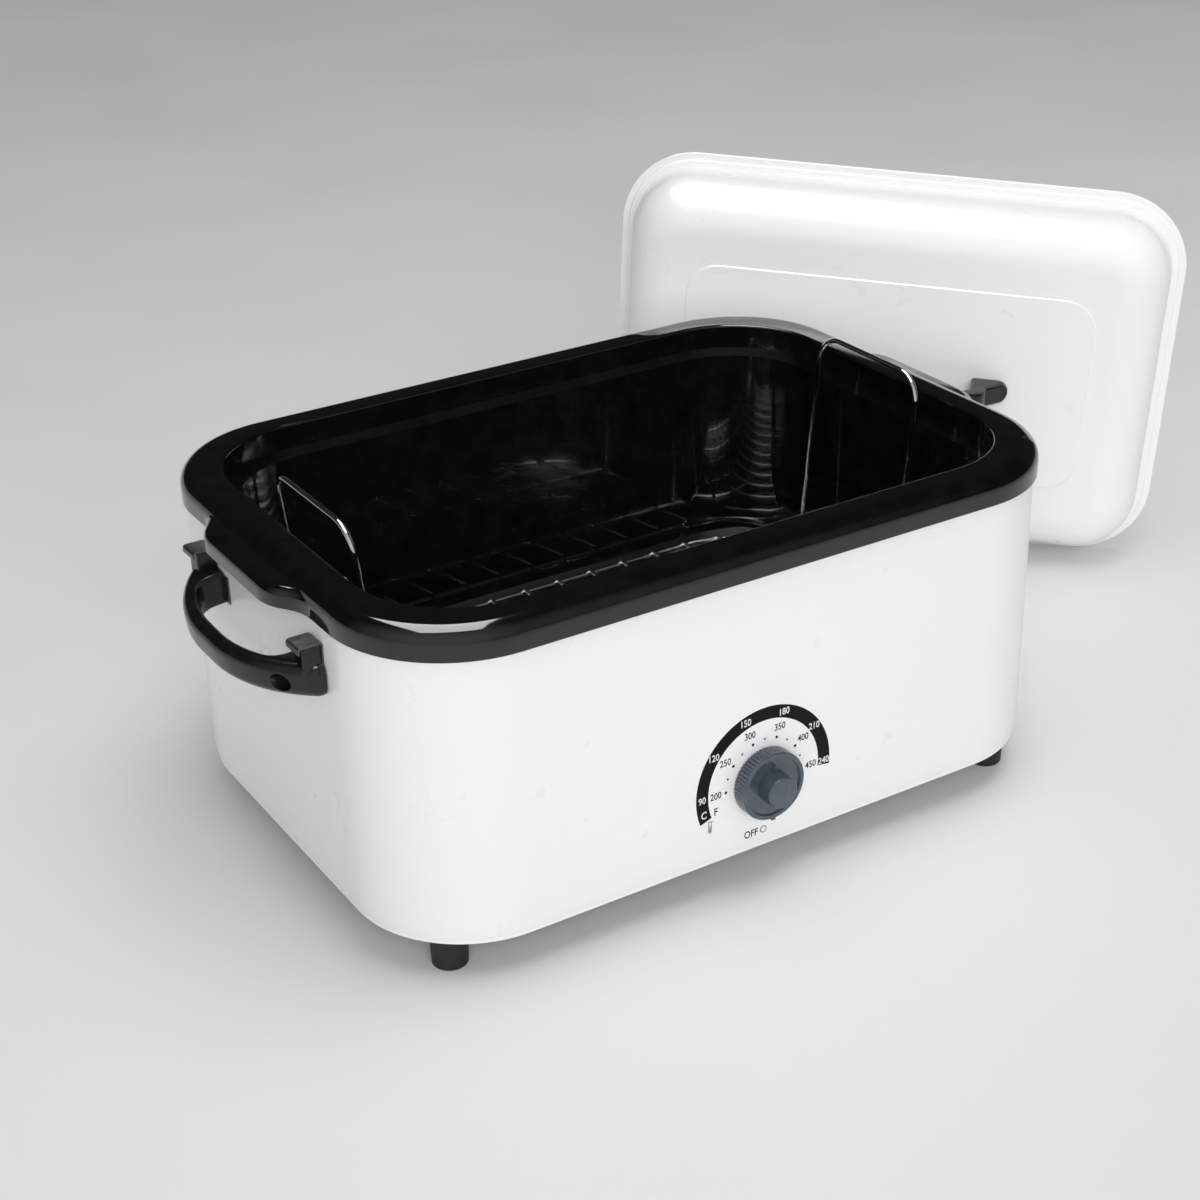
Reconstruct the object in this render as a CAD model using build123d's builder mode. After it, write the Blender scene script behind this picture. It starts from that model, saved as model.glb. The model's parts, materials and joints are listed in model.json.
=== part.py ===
from build123d import *
import os
from math import asin, atan, cos, degrees, hypot, radians, sin, sqrt, tan

# Electric roaster oven: a white steel housing on four feet, a steel well with a band heater
# round it, a lift-out enamelled pan with a lifting rack, and a lift-off domed lid that stands
# upright behind the rear right corner. Millimetres, +Z up, +X along the oven's length, -Y its
# front. The origin is the centre of the base plate's pressed field, on its underside.

# Housing: a painted steel shell, turned in at the bottom, with a flange at the top
body_length = 560.0
body_width = 400.0
body_corner = 88.0
body_height = 226.8
housing_sheet = 0.8
crease_height = 11.0
hem_inset = 3.0
hem_bead = 0.8
hem_bead_height = 2.4
top_flange = 10.0
top_round = 1.6
bottom_flange = 14.0

# How far a through cut runs past the sheet on either side
overcut = 1.0

# Base plate, feet and the screws that hold them
plate_sheet = 1.2
field_press = 1.2
field_margin = 65.8
field_corner = 40.0
plate_gap = 0.4
vent_length = 46.0
vent_width = 4.0
vent_pitch = 13.0
vent_count = 7
vent_bank_x = 112.0
vent_margin = 8.0
vent_rib = 3.0
vent_rib_height = 2.0
vent_rib_corner = 10.0
press_draft = 30.0
foot_radius = 13.6
foot_height = 28.0
foot_draft = 2.0
foot_edge = 1.4
foot_inset_x = 44.0
foot_inset_y = 39.0
foot_recess_radius = 6.5
foot_recess = 14.0
foot_screw_radius = 2.0
foot_screw_length = 20.0
foot_screw_head = 4.0
foot_screw_head_height = 2.4
base_screw_radius = 1.75
base_screw_head = 3.4
base_screw_head_height = 2.0
base_screw_round = 0.8
base_screw_length = 8.0
base_screw_inset = 9.5
base_screw_pitch = 240.0
screw_clearance = 0.2

# Well: the fixed liner, with a cap bead that the pan's rim rests over
well_inset = 18.0
well_sheet = 0.8
well_corner = 70.0
well_floor = 34.0
well_floor_radius = 20.0
well_panel_inset = 60.0
well_cap_width = 8.0
cap_round = 1.5
well_flange_reach = 1.2
rest_gap = 0.3

# Pan: rim with a hanging skirt, grip tabs at both ends, a sunk seat for the lid, a deep basin
rim_overhang = 3.0
rim_lap = 12.3
rim_height = 22.5
rim_shoulder = 13.0
pan_sheet = 0.9
tab_reach = 16.5
tab_flat = 80.0
tab_blend = 48.0
tab_root = 40.0
tab_height = 14.5
tab_shoulder = 7.0
seat_land = 25.0
seat_corner = 76.0
seat_depth = 23.0
seat_edge_round = 2.0
seat_ledge = 9.0
basin_corner = 70.0
basin_depth = 168.0
basin_draft = 3.0
basin_floor_radius = 24.7
floor_panel_margin = 2.5

# Side handles: moulded bows that droop outwards, screwed through their ends
grip_reach = 42.8
handle_span = 199.0
handle_end = 5.0
handle_end_round = 9.0
handle_bottom = 161.5
handle_height = 24.5
handle_droop = 6.0
grip_thickness = 11.0
grip_straight = 20.0
opening_end_wall = 33.5
opening_corner = 16.0
handle_outer_round = 7.6
handle_inner_round = 3.0
handle_screw_inset = 21.5
handle_screw_z = 170.5
handle_screw_radius = 2.5
handle_head_radius = 4.6
handle_head_height = 3.2
handle_head_round = 1.6
cross_slot_length = 5.6
cross_slot_width = 1.0
cross_slot_depth = 1.8
counterbore_radius = 6.6
counterbore_floor = 11.0
handle_nut_radius = 4.6
handle_nut_height = 4.0
screw_proud = 1.0
thread_gap = 0.05
handle_lug_depth = 13.0
handle_lug_gap = 0.8
handle_lug_round = 2.5

# Handle brackets: a bent strap behind each handle end, standing proud of it as a shelf
bracket_sheet = 1.2
bracket_width = 18.4
bracket_foot_width = 36.0
bracket_inset = 3.7
bracket_shelf = 18.0
bracket_lip = 5.0
bracket_top = 200.6
bracket_bottom = 163.0
bracket_bend = 2.4

# Knob, thermostat and what joins them
dial_x = -4.0
dial_z = 55.5
knob_radius = 26.0
knob_gap = 1.2
knob_depth = 11.0
knob_wall = 2.0
knob_face_sink = 1.6
knob_face_draft = 30.0
knob_rim = 3.2
knob_band = 1.2
knob_band_edge = 0.6
hub_radius = 12.4
hub_depth = 11.0
hub_draft = 3.0
hub_edge = 1.0
hub_wall = 2.5
knurl_count = 60
knurl_depth = 0.7
rib_width = 4.0
rib_height = 3.4
rib_length = 8.5
rib_point = 4.0
tick_width = 3.0
tick_reach = 1.2
knob_play = 1.0
shaft_radius = 3.0
shaft_flat = 0.8
shaft_fit = 0.05
shaft_seat = 14.0
shaft_end = 3.0
shaft_edge = 0.5
shaft_end_gap = 0.5
shaft_flat_gap = 0.6
bushing_radius = 5.0
bushing_reach = 5.0
bushing_hole_gap = 0.4
thermostat_width = 40.0
thermostat_height = 34.0
thermostat_low = 38.5
thermostat_air = 2.5
thermostat_corner = 3.0
thermostat_edge = 1.2
nut_across = 14.0
nut_height = 2.4
nut_room = 2.2
probe_radius = 5.0
probe_length = 2.0
probe_z = 65.0
clip_wall = 0.6
clip_length = 7.0
clip_slit = 1.6

# Heater band, its clips and the blanket of glass fibre
band_low = 58.0
band_height = 30.0
band_thick = 2.6
band_break = 34.0
terminal_width = 8.0
terminal_thick = 1.2
terminal_reach = 6.0
terminal_inset = 4.0
clip_inset = 130.0
clip_lap = 8.0
clip_band_width = 12.0
clip_band_thick = 0.8
wrap_gap = 1.0
wrap_thick = 10.0
wrap_low = 24.0
wrap_top_gap = 3.0
wrap_notch = 12.0
wrap_gland_room = 22.0
wrap_heater_room = 12.0

# Mains entry at the rear
gland_inset = 110.0
gland_z = 26.0
gland_bore = 4.2
gland_radius = 7.6
gland_flange_radius = 11.0
gland_flange = 3.0
gland_round = 1.0
gland_nose = 10.0
gland_draft = 6.0
gland_tail = 9.0
gland_hole_gap = 0.3
block_length = 34.0
block_width = 16.0
block_height = 14.0
block_edge = 1.0
block_pitch = 10.0
block_well_radius = 3.0
block_well_depth = 6.0
block_inset = 54.0

# Rack: welded chrome wire on six short legs, with a bail hinged at each end
rack_margin = 28.0
rack_corner = 55.0
frame_wire = 2.5
cross_wire = 1.6
cross_count = 13
runner_wire = 2.0
runner_y = 72.0
rack_leg = 14.5
leg_wire = 1.8
leg_pitch = 150.0
rack_leg_gap = 0.2
weld = 0.5
bail_wire = 2.0
bail_height = 196.0
bail_span = 120.0
bail_corner = 22.0
bail_lean = 6.0
eye_wall = 2.6
eye_width = 6.0
eye_fit = 0.08

# Lid: stepped flange, deep soft dome with a raised panel, and a bow handle on flared feet
lid_fit = 5.0
lid_corner = 67.6
lid_sheet = 0.9
flange_edge = 3.0
flange_edge_round = 1.3
flange_band = 6.0
flange_step = 3.0
flange_step_round = 1.2
dome_inset = 12.0
dome_height = 62.0
dome_draft = 2.5
dome_round = 44.3
panel_length = 358.7
panel_width = 176.4
panel_corner = 29.3
panel_rise = 1.0
lid_opening_half = 78.5
lid_opening_height = 31.0
lid_opening_corner = 9.0
lid_grip_thick = 11.0
lid_leg = 14.5
lid_foot_flare = 18.0
lid_foot_edge = 3.0
lid_foot_round = 8.0
lid_handle_width = 18.5
lid_handle_round = 17.0
lid_handle_edge = 3.0
lid_screw_radius = 2.4
lid_screw_depth = 12.0
lid_screw_head = 4.8
lid_screw_head_height = 2.6
lid_screw_head_round = 1.2
washer_radius = 7.0
washer_thick = 1.0

# Where the lid stands: on a long edge behind the oven's right end, turned about the vertical
# and rolled a little onto its right-hand corner
lid_away_x = 149.9
lid_away_y = 10.2
lid_turn = 43.8
lid_roll = 3.5

os.makedirs("parts", exist_ok=True)


def save(builder, name):
    """Labels a finished sub-part and writes its STEP file."""
    builder.part.label = name
    export_step(builder.part, f"parts/{name}.step")


def is_near(value, target, slack=0.01):
    return abs(value - target) < slack


# ------------------------------------------------------------------ housing

half_length = body_length / 2
half_width = body_width / 2
hem_taper = degrees(atan(hem_inset / crease_height))
inner_length = body_length - 2 * housing_sheet
inner_width = body_width - 2 * housing_sheet
inner_corner = body_corner - housing_sheet
front_wall = -half_width
floor_level = -foot_height
plate_top = field_press + plate_sheet
handle_screw_y = handle_span / 2 - handle_screw_inset
side_screw_places = [(side * handle_screw_y, handle_screw_z) for side in (-1, 1)]
gland_x = -(half_length - gland_inset)

hem_length = body_length - 2 * hem_inset
hem_width = body_width - 2 * hem_inset
hem_corner = body_corner - hem_inset
plate_length = hem_length - 2 * housing_sheet - 2 * plate_gap
plate_width = hem_width - 2 * housing_sheet - 2 * plate_gap
plate_corner = hem_corner - housing_sheet - plate_gap
base_screw_x = base_screw_pitch / 2
base_screw_y = plate_width / 2 - base_screw_inset
base_screw_places = [(x, y) for x in (-base_screw_x, base_screw_x) for y in (-base_screw_y, base_screw_y)]
base_screw_places += [(side * (plate_length / 2 - base_screw_inset), 0.0) for side in (-1, 1)]

with BuildPart() as outer_housing:
    with BuildSketch(Plane.XY.offset(crease_height)) as wall_outline:
        RectangleRounded(body_length, body_width, body_corner)
    extrude(amount=body_height - crease_height)
    extrude(wall_outline.sketch, amount=-crease_height, taper=hem_taper)
    top_edges = outer_housing.faces().sort_by(Axis.Z)[-1].edges()
    fillet(top_edges, radius=top_round)
    # hollow, leaving a flange at the top and another just above the base plate
    with BuildSketch(Plane.XY.offset(crease_height)) as hollow_outline:
        RectangleRounded(inner_length, inner_width, inner_corner)
    extrude(
        amount=body_height - housing_sheet - crease_height,
        mode=Mode.SUBTRACT,
    )
    flange_top = plate_top + housing_sheet
    extrude(
        hollow_outline.sketch,
        amount=flange_top - crease_height,
        taper=hem_taper,
        mode=Mode.SUBTRACT,
    )
    with BuildSketch(Plane.XY.offset(body_height)):
        RectangleRounded(
            inner_length - 2 * top_flange, inner_width - 2 * top_flange, inner_corner - top_flange
        )
    extrude(amount=-body_height, mode=Mode.SUBTRACT)
    with BuildSketch(Plane.XY.offset(flange_top)):
        RectangleRounded(
            plate_length - 2 * bottom_flange,
            plate_width - 2 * bottom_flange,
            plate_corner - bottom_flange,
        )
    extrude(amount=-flange_top, mode=Mode.SUBTRACT)
    with BuildSketch(Plane.XY):
        RectangleRounded(
            plate_length + 2 * plate_gap, plate_width + 2 * plate_gap, plate_corner + plate_gap
        )
    extrude(amount=plate_top, mode=Mode.SUBTRACT)
    # rolled bead along the bottom edge
    with BuildSketch(Plane.XY):
        RectangleRounded(
            hem_length + 2 * hem_bead, hem_width + 2 * hem_bead, hem_corner + hem_bead
        )
        RectangleRounded(
            plate_length + 2 * plate_gap,
            plate_width + 2 * plate_gap,
            plate_corner + plate_gap,
            mode=Mode.SUBTRACT,
        )
    extrude(amount=hem_bead_height)
    # holes: handle screws at both ends, thermostat bushing in front, gland at the rear
    with BuildSketch(Plane.YZ.offset(-half_length - overcut)):
        with Locations(*side_screw_places):
            Circle(handle_screw_radius + screw_clearance)
    extrude(amount=body_length + 2 * overcut, mode=Mode.SUBTRACT)
    with BuildSketch(Plane.XZ.offset(-front_wall + overcut)):
        with Locations((dial_x, dial_z)):
            Circle(bushing_radius + bushing_hole_gap)
    extrude(amount=-(housing_sheet + 2 * overcut), mode=Mode.SUBTRACT)
    with BuildSketch(Plane.XZ.offset(-half_width - overcut)):
        with Locations((gland_x, gland_z)):
            Circle(gland_radius + gland_hole_gap)
    extrude(amount=housing_sheet + 2 * overcut, mode=Mode.SUBTRACT)
    with BuildSketch(Plane.XY.offset(-overcut)):
        with Locations(*base_screw_places):
            Circle(base_screw_radius + screw_clearance)
    extrude(amount=flange_top + 2 * overcut, mode=Mode.SUBTRACT)
save(outer_housing, "outer_housing")

# --------------------------------------------------------------- base plate

foot_x = half_length - foot_inset_x
foot_y = half_width - foot_inset_y
foot_places = {
    "foot_front_left": (-foot_x, -foot_y),
    "foot_front_right": (foot_x, -foot_y),
    "foot_rear_left": (-foot_x, foot_y),
    "foot_rear_right": (foot_x, foot_y),
}

field_length = plate_length - 2 * field_margin
field_width = plate_width - 2 * field_margin
vent_rib_length = vent_pitch * (vent_count - 1) + vent_width + 2 * vent_margin
vent_rib_span = 3 * vent_length + 2 * vent_margin

with BuildPart() as base_plate:
    with BuildSketch(Plane.XY.offset(field_press)):
        RectangleRounded(plate_length, plate_width, plate_corner)
    extrude(amount=plate_sheet)
    # the field is pressed down out of the sheet, with drafted sides
    with BuildSketch(Plane.XY.offset(plate_top)):
        RectangleRounded(field_length, field_width, field_corner)
    extrude(amount=-plate_top, taper=press_draft)
    with BuildSketch(Plane.XY.offset(plate_top)):
        RectangleRounded(
            field_length - 2 * plate_sheet, field_width - 2 * plate_sheet, field_corner - plate_sheet
        )
    extrude(amount=-field_press, taper=press_draft, mode=Mode.SUBTRACT)
    with BuildSketch(Plane.XY):
        with Locations(*base_screw_places):
            Circle(base_screw_radius + screw_clearance)
        with Locations(*foot_places.values()):
            Circle(foot_screw_radius + screw_clearance)
        with Locations((-vent_bank_x, 0), (vent_bank_x, 0)):
            with GridLocations(vent_pitch, 2 * vent_length, vent_count, 2):
                SlotOverall(vent_length, vent_width, rotation=90)
    extrude(amount=plate_top, mode=Mode.SUBTRACT)
    # a rib round each bank of vents stiffens the sheet
    with BuildSketch(Plane.XY.offset(plate_sheet)):
        with Locations((-vent_bank_x, 0), (vent_bank_x, 0)):
            RectangleRounded(
                vent_rib_length + 2 * vent_rib, vent_rib_span + 2 * vent_rib, vent_rib_corner + vent_rib
            )
            RectangleRounded(vent_rib_length, vent_rib_span, vent_rib_corner, mode=Mode.SUBTRACT)
    extrude(amount=vent_rib_height)
save(base_plate, "base_plate")

for foot_name, foot_place in foot_places.items():
    with BuildPart() as foot:
        with BuildSketch(Plane.XY.offset(field_press)):
            with Locations(foot_place):
                Circle(foot_radius)
        extrude(amount=-(foot_height + field_press), taper=foot_draft)
        fillet(foot.faces().sort_by(Axis.Z)[0].edges(), radius=foot_edge)
        with BuildSketch(Plane.XY.offset(floor_level)):
            with Locations(foot_place):
                Circle(foot_recess_radius)
        extrude(amount=foot_recess, mode=Mode.SUBTRACT)
        with BuildSketch(Plane.XY.offset(floor_level)):
            with Locations(foot_place):
                Circle(foot_screw_radius + screw_clearance)
        extrude(amount=foot_height + field_press, mode=Mode.SUBTRACT)
    save(foot, foot_name)

with BuildPart() as foot_screws:
    head_seat = floor_level + foot_recess
    with BuildSketch(Plane.XY.offset(head_seat)):
        with Locations(*foot_places.values()):
            Circle(foot_screw_radius)
    extrude(amount=foot_screw_length)
    with BuildSketch(Plane.XY.offset(head_seat)):
        with Locations(*foot_places.values()):
            Circle(foot_screw_head)
    extrude(amount=-foot_screw_head_height)
save(foot_screws, "foot_screws")

with BuildPart() as base_screws:
    with BuildSketch(Plane.XY.offset(field_press)):
        with Locations(*base_screw_places):
            Circle(base_screw_radius)
    extrude(amount=base_screw_length)
    with BuildSketch(Plane.XY.offset(field_press)):
        with Locations(*base_screw_places):
            Circle(base_screw_head)
    extrude(amount=-base_screw_head_height)
    fillet(base_screws.faces().sort_by(Axis.Z)[: len(base_screw_places)].edges(), radius=base_screw_round)
save(base_screws, "base_screws")

# ---------------------------------------------------------------------- well

rim_bottom = body_height - rim_lap
rim_top = rim_bottom + rim_height
well_length = body_length - 2 * well_inset
well_width = body_width - 2 * well_inset
well_cap_top = rim_top - pan_sheet - rest_gap
cap_length = well_length + 2 * well_cap_width
cap_width = well_width + 2 * well_cap_width
cap_corner = well_corner + well_cap_width

with BuildPart() as inner_well:
    # drawn box with a rounded bottom edge
    with BuildSketch(Plane.XY.offset(well_floor)):
        RectangleRounded(
            well_length + 2 * well_sheet, well_width + 2 * well_sheet, well_corner + well_sheet
        )
    extrude(amount=well_cap_top - well_floor)
    fillet(inner_well.faces().sort_by(Axis.Z)[0].edges(), radius=well_floor_radius + well_sheet)
    # cap bead and the flange that sits on the housing
    with BuildSketch(Plane.XY.offset(body_height)):
        RectangleRounded(cap_length, cap_width, cap_corner)
    extrude(amount=well_cap_top - body_height)
    fillet(inner_well.faces().sort_by(Axis.Z)[-1].edges(), radius=cap_round)
    with BuildSketch(Plane.XY.offset(body_height)):
        RectangleRounded(
            inner_length - 2 * well_flange_reach,
            inner_width - 2 * well_flange_reach,
            inner_corner - well_flange_reach,
        )
    extrude(amount=well_sheet)

with BuildPart() as well_hollow:
    with BuildSketch(Plane.XY.offset(well_floor + well_sheet)):
        RectangleRounded(well_length, well_width, well_corner)
    extrude(amount=well_cap_top - well_floor)
    fillet(well_hollow.faces().sort_by(Axis.Z)[0].edges(), radius=well_floor_radius)
with BuildPart() as cap_hollow:
    with BuildSketch(Plane.XY.offset(body_height - 1)):
        RectangleRounded(
            cap_length - 2 * well_sheet, cap_width - 2 * well_sheet, cap_corner - well_sheet
        )
        RectangleRounded(
            well_length + 2 * well_sheet,
            well_width + 2 * well_sheet,
            well_corner + well_sheet,
            mode=Mode.SUBTRACT,
        )
    extrude(amount=well_cap_top - body_height - well_sheet + 1)

# the flat middle of the floor is a panel of its own, flush with the drawn well round it
with BuildSketch(Plane.XY.offset(well_floor)) as well_panel_outline:
    RectangleRounded(
        well_length - 2 * well_panel_inset,
        well_width - 2 * well_panel_inset,
        well_corner - well_panel_inset,
    )
with inner_well:
    add(well_hollow.part, mode=Mode.SUBTRACT)
    add(cap_hollow.part, mode=Mode.SUBTRACT)
    extrude(well_panel_outline.sketch, amount=well_sheet, mode=Mode.SUBTRACT)
save(inner_well, "inner_well")

with BuildPart() as well_panel:
    extrude(well_panel_outline.sketch, amount=well_sheet)
save(well_panel, "well_panel")

# ----------------------------------------------------------------------- pan

rim_length = body_length + 2 * rim_overhang
rim_width = body_width + 2 * rim_overhang
rim_corner = body_corner + rim_overhang
seat_level = rim_top - seat_depth
seat_length = body_length - 2 * seat_land
seat_width = body_width - 2 * seat_land
basin_length = seat_length - 2 * seat_ledge
basin_width = seat_width - 2 * seat_ledge
basin_floor = seat_level - basin_depth
floor_inset = basin_depth * tan(radians(basin_draft)) + basin_floor_radius + floor_panel_margin


def tab_outline():
    """The right grip tab in plan: straight in the middle, an S-curve of two arcs each side."""
    root_x = rim_length / 2
    tip_x = root_x + tab_reach
    inner_x = root_x - tab_root
    start = (root_x, -tab_flat / 2 - tab_blend)
    middle = (root_x + tab_reach / 2, -(tab_flat + tab_blend) / 2)
    end = (tip_x, -tab_flat / 2)
    with BuildSketch() as tab:
        with BuildLine():
            TangentArc(start, middle, tangent=(0, 1))
            TangentArc(end, middle, tangent=(0, -1))
            Line(end, (end[0], -end[1]))
            TangentArc((end[0], -end[1]), (middle[0], -middle[1]), tangent=(0, 1))
            TangentArc((start[0], -start[1]), (middle[0], -middle[1]), tangent=(0, -1))
            Polyline(start, (inner_x, start[1]), (inner_x, -start[1]), (root_x, -start[1]))
        make_face()
    return tab.sketch


def rim_form(skin):
    """The rim's outer form, or with a skin its underside: slab with tabs, and the round bead."""
    with BuildSketch() as plan:
        RectangleRounded(rim_length, rim_width, rim_corner)
        add(tab_outline())
        add(mirror(tab_outline(), about=Plane.YZ))
    with BuildSketch(Plane.XY.offset(rim_bottom - skin)) as slab_plan:
        add(offset(plan.sketch, amount=-skin, mode=Mode.PRIVATE) if skin else plan.sketch)
    with BuildPart() as slab:
        extrude(slab_plan.sketch, amount=tab_height)
        fillet(slab.faces().sort_by(Axis.Z)[-1].edges(), radius=tab_shoulder - skin)
    with BuildPart() as bead:
        with BuildSketch(Plane.XY.offset(rim_bottom - skin)):
            RectangleRounded(rim_length - 2 * skin, rim_width - 2 * skin, rim_corner - skin)
        extrude(amount=rim_height)
        fillet(bead.faces().sort_by(Axis.Z)[-1].edges(), radius=rim_shoulder - skin)
        add(slab.part)
    return bead.part


def basin_form(skin):
    """The pan's inside, or with a skin the outside: sunk seat, drafted basin, round floor."""
    with BuildPart() as basin:
        with BuildSketch(Plane.XY.offset(seat_level)):
            RectangleRounded(basin_length + 2 * skin, basin_width + 2 * skin, basin_corner + skin)
        extrude(amount=-(basin_depth + skin), taper=basin_draft)
        fillet(basin.faces().sort_by(Axis.Z)[0].edges(), radius=basin_floor_radius + skin)
    with BuildPart() as seat:
        with BuildSketch(Plane.XY.offset(seat_level - skin)):
            RectangleRounded(seat_length + 2 * skin, seat_width + 2 * skin, seat_corner + skin)
        extrude(amount=seat_depth + skin)
        add(basin.part)
    return seat.part


rim_outside = rim_form(0)
rim_underside = rim_form(pan_sheet)
basin_outside = basin_form(pan_sheet)
basin_inside = basin_form(0)

with BuildPart() as cooking_pan:
    add(rim_outside)
    add(rim_underside, mode=Mode.SUBTRACT)
    add(basin_outside)
    add(basin_inside, mode=Mode.SUBTRACT)
    seat_mouth = cooking_pan.edges().filter_by(
        lambda e: is_near((e @ 0.5).Z, rim_top) and abs((e @ 0.5).X) <= seat_length / 2 + 0.1
        and abs((e @ 0.5).Y) <= seat_width / 2 + 0.1
    )
    fillet(seat_mouth, radius=seat_edge_round)

# the flat middle of the floor is a panel of its own, flush with the drawn pan round it
with BuildSketch(Plane.XY.offset(basin_floor)) as floor_outline:
    RectangleRounded(
        basin_length - 2 * floor_inset, basin_width - 2 * floor_inset, basin_corner - floor_inset
    )
with cooking_pan:
    extrude(floor_outline.sketch, amount=-pan_sheet, mode=Mode.SUBTRACT)
save(cooking_pan, "cooking_pan")

with BuildPart() as pan_floor:
    extrude(floor_outline.sketch, amount=-pan_sheet)
save(pan_floor, "pan_floor")

# -------------------------------------------------------------- side handles

bracket_face = half_length + bracket_sheet
shelf_under = bracket_top - bracket_sheet
handle_half = handle_span / 2
bracket_y = handle_half - bracket_inset
bow_rise = grip_reach - handle_end
bow_half = handle_half - grip_straight / 2
bow_radius = (bow_rise**2 + bow_half**2) / (2 * bow_rise)
bow_sweep = degrees(asin(bow_half / bow_radius))
bow_centre = grip_reach - bow_radius
opening_reach = grip_reach - grip_thickness
opening_half = handle_half - opening_end_wall
opening_radius = bow_radius - grip_thickness
opening_sweep = degrees(asin((opening_half - grip_straight / 2) / opening_radius))
opening_end = bow_centre + opening_radius * cos(radians(opening_sweep))

# the bow's own plane slopes down from the wall; its x runs outwards from the wall
droop = radians(handle_droop)
bow_plane = Plane(
    origin=(bracket_face, 0, handle_bottom),
    x_dir=(cos(droop), 0, -sin(droop)),
    z_dir=(sin(droop), 0, cos(droop)),
)


def bow_outline(reach, radius, sweep, end_x, half_span, corner):
    """One side of the bow in its plane: arc, straight, arc, and square ends with a radius."""
    with BuildSketch() as outline:
        with BuildLine():
            CenterArc((bow_centre, grip_straight / 2), radius, 0, sweep)
            Line((reach, -grip_straight / 2), (reach, grip_straight / 2))
            CenterArc((bow_centre, -grip_straight / 2), radius, 0, -sweep)
            Polyline(
                (end_x, half_span),
                (-handle_end, half_span),
                (-handle_end, -half_span),
                (end_x, -half_span),
            )
        make_face()
        fillet(outline.vertices().filter_by(lambda v: is_near(v.X, end_x)), radius=corner)
    return outline.sketch


outer_outline = bow_outline(
    grip_reach, bow_radius, bow_sweep, handle_end, handle_half, handle_end_round
)
opening_outline = bow_outline(
    opening_reach, opening_radius, opening_sweep, opening_end, opening_half, opening_corner
)


def is_by_opening(edge):
    """Whether an edge lies on the opening's outline and not on the outer one or the back."""
    spot = bow_plane.to_local_coords(edge @ 0.5)
    from_centre = hypot(spot.X - bow_centre, max(abs(spot.Y) - grip_straight / 2, 0))
    return from_centre < opening_radius + 1 and abs(spot.Y) < opening_half + 1


with BuildPart() as right_handle:
    with BuildSketch(bow_plane):
        add(outer_outline)
    extrude(amount=handle_height)
    broad_faces = right_handle.faces().sort_by(Axis(bow_plane.origin, bow_plane.z_dir))
    outer_edges = [*broad_faces[0].edges(), *broad_faces[-1].edges()]
    fillet(
        [e for e in outer_edges if not is_near(bow_plane.to_local_coords(e @ 0.5).X, -handle_end)],
        radius=handle_outer_round,
    )
    with BuildSketch(bow_plane):
        add(opening_outline)
    extrude(amount=handle_height, mode=Mode.SUBTRACT)
    broad_faces = right_handle.faces().sort_by(Axis(bow_plane.origin, bow_plane.z_dir))
    broad_edges = [*broad_faces[0].edges(), *broad_faces[-1].edges()]
    fillet([e for e in broad_edges if is_by_opening(e)], radius=handle_inner_round)
    # a lug at each end stands up behind the bracket's lip
    with BuildSketch(Plane.XY.offset(shelf_under - handle_lug_gap)):
        for side in (-1, 1):
            with Locations((bracket_face, side * (bracket_y - bracket_width / 2))):
                RectangleRounded(
                    2 * handle_lug_depth, bracket_width - 2 * bracket_sheet, handle_lug_round
                )
    extrude(amount=handle_bottom + handle_height / 2 - shelf_under + handle_lug_gap)
    # flat back against the brackets
    split(bisect_by=Plane.YZ.offset(bracket_face), keep=Keep.TOP)
    with BuildSketch(Plane.YZ.offset(bracket_face - overcut)):
        with Locations(*side_screw_places):
            Circle(handle_screw_radius + screw_clearance)
    extrude(amount=grip_reach + 2 * overcut, mode=Mode.SUBTRACT)
    with BuildSketch(Plane.YZ.offset(bracket_face + counterbore_floor)):
        with Locations(*side_screw_places):
            Circle(counterbore_radius)
    extrude(amount=grip_reach, mode=Mode.SUBTRACT)
save(right_handle, "right_handle")

with BuildPart() as left_handle:
    add(right_handle.part)
    mirror(about=Plane.YZ, mode=Mode.REPLACE)
save(left_handle, "left_handle")

with BuildPart() as bracket:
    # bent strap in side view: up the wall, out as a shelf, down as a lip
    with BuildSketch(Plane.XZ.offset(bracket_y)):
        with BuildLine() as strap:
            FilletPolyline(
                (half_length, bracket_bottom),
                (half_length, bracket_top),
                (half_length + bracket_shelf, bracket_top),
                (half_length + bracket_shelf, bracket_top - bracket_lip),
                radius=bracket_bend,
            )
            offset(amount=bracket_sheet, side=Side.RIGHT)
        make_face()
    extrude(amount=-bracket_width)
    # the foot behind the handle is wider, to take the handle's screw
    with BuildSketch(Plane.YZ.offset(half_length)):
        with Locations((-bracket_y, bracket_bottom)):
            Rectangle(
                bracket_foot_width,
                handle_bottom + handle_height - bracket_bottom - bracket_bend,
                align=(Align.MIN, Align.MIN),
            )
        with Locations((-handle_screw_y, handle_screw_z)):
            Circle(handle_screw_radius + screw_clearance, mode=Mode.SUBTRACT)
    extrude(amount=bracket_sheet)
    with BuildSketch(Plane.YZ.offset(half_length - overcut)):
        with Locations((-handle_screw_y, handle_screw_z)):
            Circle(handle_screw_radius + screw_clearance)
    extrude(amount=bracket_sheet + 2 * overcut, mode=Mode.SUBTRACT)

bracket_mirrors = {
    "handle_bracket_right_front": [],
    "handle_bracket_right_rear": [Plane.XZ],
    "handle_bracket_left_front": [Plane.YZ],
    "handle_bracket_left_rear": [Plane.YZ, Plane.XZ],
}
for bracket_name, planes in bracket_mirrors.items():
    with BuildPart() as placed_bracket:
        add(bracket.part)
        for plane in planes:
            mirror(about=plane, mode=Mode.REPLACE)
    save(placed_bracket, bracket_name)

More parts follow.
